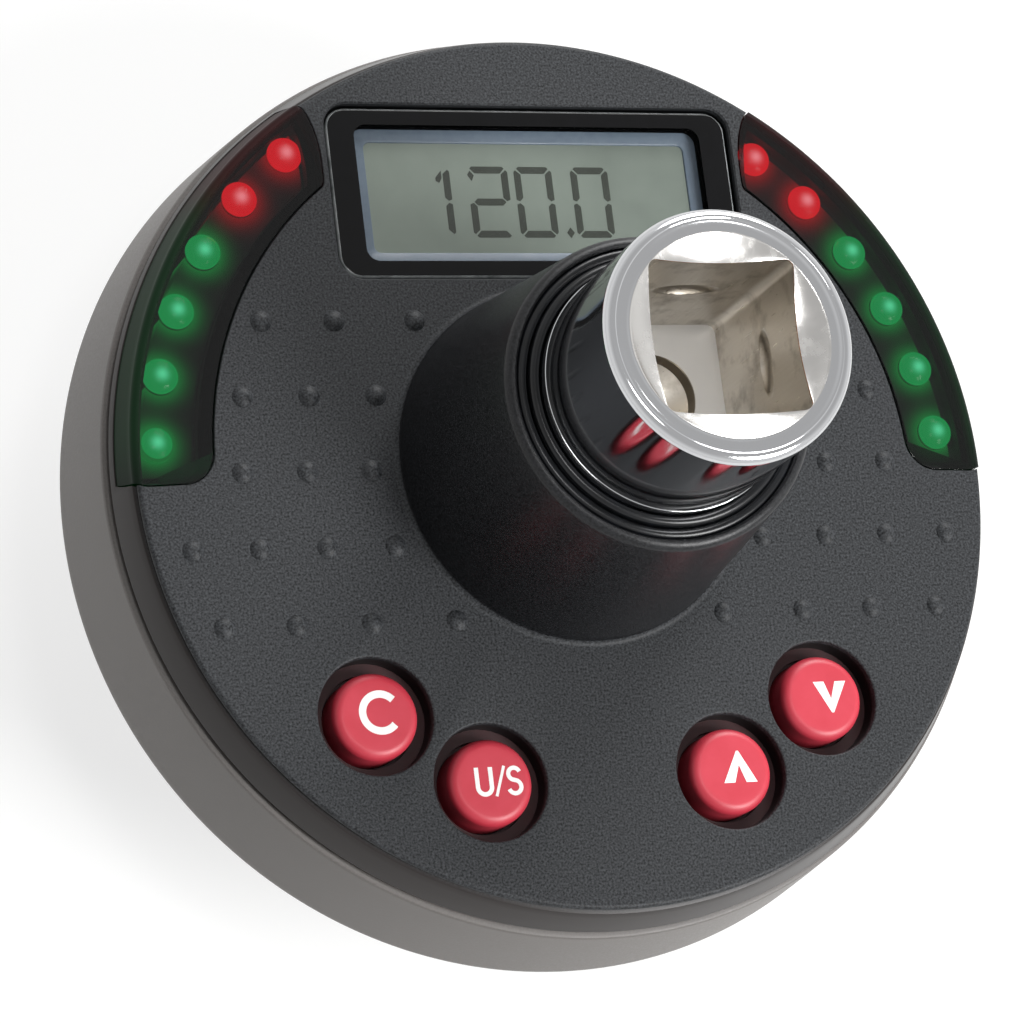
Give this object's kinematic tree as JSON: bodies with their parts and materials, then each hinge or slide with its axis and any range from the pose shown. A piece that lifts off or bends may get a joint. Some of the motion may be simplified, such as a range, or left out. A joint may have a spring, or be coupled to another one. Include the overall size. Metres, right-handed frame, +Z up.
{
  "type": "torque angle gauge",
  "caption": "Round electronic torque angle gauge: chromed through shaft with female and male square drives, LCD, lamp arcs and sprung keys.",
  "frame": {"origin": "centre of the end face of the male square, on the drive axis", "axes": "+Z up the drive axis towards the female square, +X to the right of the display, +Y from the keys towards the display"},
  "size_m": [0.0854, 0.0854, 0.0713],
  "materials": {
    "chrome_plate": "polished chrome plate",
    "bearing_steel": "polished",
    "spring_steel": "drawn wire",
    "front_plastic": "spark-textured moulding",
    "rear_plastic": "fine matt moulding",
    "seal_rubber": "moulded",
    "lens_acrylic": "polished, printed border",
    "frame_plastic": "satin",
    "lcd_glass": "reflective twisted nematic",
    "connector_rubber": "layered",
    "smoked_acrylic": "polished, smoked",
    "lamp_green": "lit, diffused",
    "lamp_red": "lit, diffused",
    "board_laminate": "solder mask",
    "key_rubber": "moulded silicone",
    "mat_rubber": "moulded silicone",
    "carbon_rubber": "carbon loaded",
    "gold_pad": "plated",
    "chip_resin": "moulded resin",
    "cell_steel": "brushed",
    "contact_metal": "nickel plated",
    "screw_steel": "zinc plated"
  },
  "bodies": {
    "housing": {"drive_shaft": "chrome_plate", "detent_spring": "spring_steel", "front_cover": "front_plastic", "collar": "front_plastic", "rear_cover": "rear_plastic", "housing_gasket": "seal_rubber", "collar_seal": "seal_rubber", "neck_seal": "seal_rubber", "display_lens": "lens_acrylic", "lcd_frame": "frame_plastic", "lcd_panel": "lcd_glass", "lcd_connectors": "connector_rubber", "lamp_window_left": "smoked_acrylic", "lamp_window_right": "smoked_acrylic", "green_lamps": "lamp_green", "red_lamps": "lamp_red", "main_board": "board_laminate", "keypad_mat": "mat_rubber", "contact_pads": "gold_pad", "angle_sensor": "chip_resin", "controller_chip": "chip_resin", "buzzer": "chip_resin", "coin_cell": "cell_steel", "cell_contact_positive": "contact_metal", "cell_contact_negative": "contact_metal", "housing_screws": "screw_steel", "board_screws": "screw_steel"},
    "key_clear": {"button_clear": "key_rubber", "contact_pill_clear": "carbon_rubber"},
    "key_unit_set": {"button_unit_set": "key_rubber", "contact_pill_unit_set": "carbon_rubber"},
    "key_up": {"button_up": "key_rubber", "contact_pill_up": "carbon_rubber"},
    "key_down": {"button_down": "key_rubber", "contact_pill_down": "carbon_rubber"},
    "ball": {"detent_ball": "bearing_steel"},
    "cap": {"battery_cap": "rear_plastic", "battery_cap_seal": "seal_rubber"}
  },
  "joints": [
    {"name": "press_clear", "type": "slide", "parent": "housing", "child": "key_clear", "axis": [0, 0, -1], "range_m": [0, 0.001], "stiffness_N_per_m": 1200},
    {"name": "press_unit_set", "type": "slide", "parent": "housing", "child": "key_unit_set", "axis": [0, 0, -1], "range_m": [0, 0.001], "stiffness_N_per_m": 1200},
    {"name": "press_up", "type": "slide", "parent": "housing", "child": "key_up", "axis": [0, 0, -1], "range_m": [0, 0.001], "stiffness_N_per_m": 1200},
    {"name": "press_down", "type": "slide", "parent": "housing", "child": "key_down", "axis": [0, 0, -1], "range_m": [0, 0.001], "stiffness_N_per_m": 1200},
    {"name": "detent_travel", "type": "slide", "parent": "housing", "child": "ball", "axis": [-1, 0, 0], "range_m": [0, 0.0009], "stiffness_N_per_m": 3000, "deforming": ["detent_spring"]},
    {"name": "cap_turn", "type": "hinge", "parent": "housing", "child": "cap", "pos_m": [0, 0.027, 0.018], "axis": [0, 0, -1], "range_deg": [0, 45]}
  ]
}
